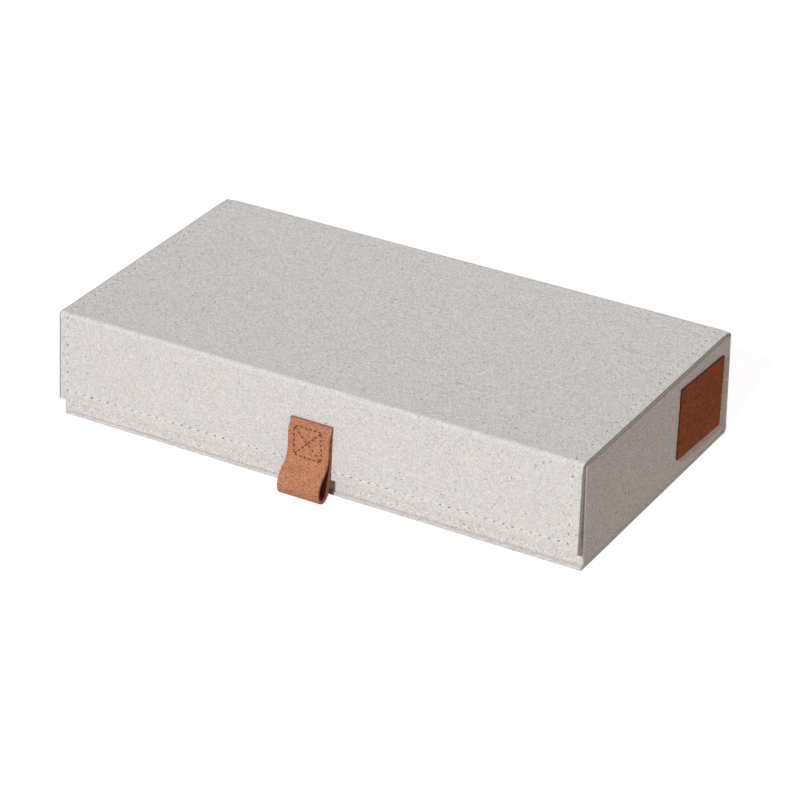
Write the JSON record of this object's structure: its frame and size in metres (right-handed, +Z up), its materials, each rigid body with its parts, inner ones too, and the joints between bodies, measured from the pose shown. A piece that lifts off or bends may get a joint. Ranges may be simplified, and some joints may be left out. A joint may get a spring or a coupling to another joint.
{
  "type": "glasses box",
  "caption": "Low cloth-covered box with places for folded glasses, a hinged lid and a front flap with a leather pull loop.",
  "frame": {"origin": "middle of the base's underside, where the box stands", "axes": "+Z up, +X to the right end seen from the front, -Y towards the front flap"},
  "size_m": [0.3293, 0.1914, 0.064],
  "materials": {
    "cover_cloth": "undyed linen and cotton canvas",
    "lining": "soft undyed cloth",
    "board": "grey bookbinder's board",
    "strap_leather": "matt tan leather",
    "patch_leather": "matt brown leather"
  },
  "bodies": {
    "box": {"base_board": "board", "base_cloth": "cover_cloth", "spine_board": "board", "spine_cloth": "cover_cloth", "tray_floor": "board", "tray_front_wall": "board", "tray_back_wall": "board", "tray_left_wall": "board", "tray_right_wall": "board", "tray_cloth": "cover_cloth", "tray_lining": "lining", "divider_board_1": "board", "divider_board_2": "board", "divider_board_3": "board", "divider_board_4": "board", "divider_cover_1": "lining", "divider_cover_2": "lining", "divider_cover_3": "lining", "divider_cover_4": "lining", "leather_patch": "patch_leather"},
    "lid": {"lid_board": "board", "lid_cloth": "cover_cloth", "lid_lining": "lining"},
    "flap": {"flap_board": "board", "flap_cloth": "cover_cloth", "flap_lining": "lining", "pull_tab": "strap_leather"}
  },
  "joints": [
    {"name": "lid_hinge", "type": "hinge", "parent": "box", "child": "lid", "pos_m": [0, 0.08578, 0.06303], "axis": [-1, 0, 0], "range_deg": [0, 175]},
    {"name": "flap_hinge", "type": "hinge", "parent": "lid", "child": "flap", "pos_m": [0, -0.08572, 0.06313], "axis": [-1, 0, 0], "range_deg": [0, 175]}
  ]
}
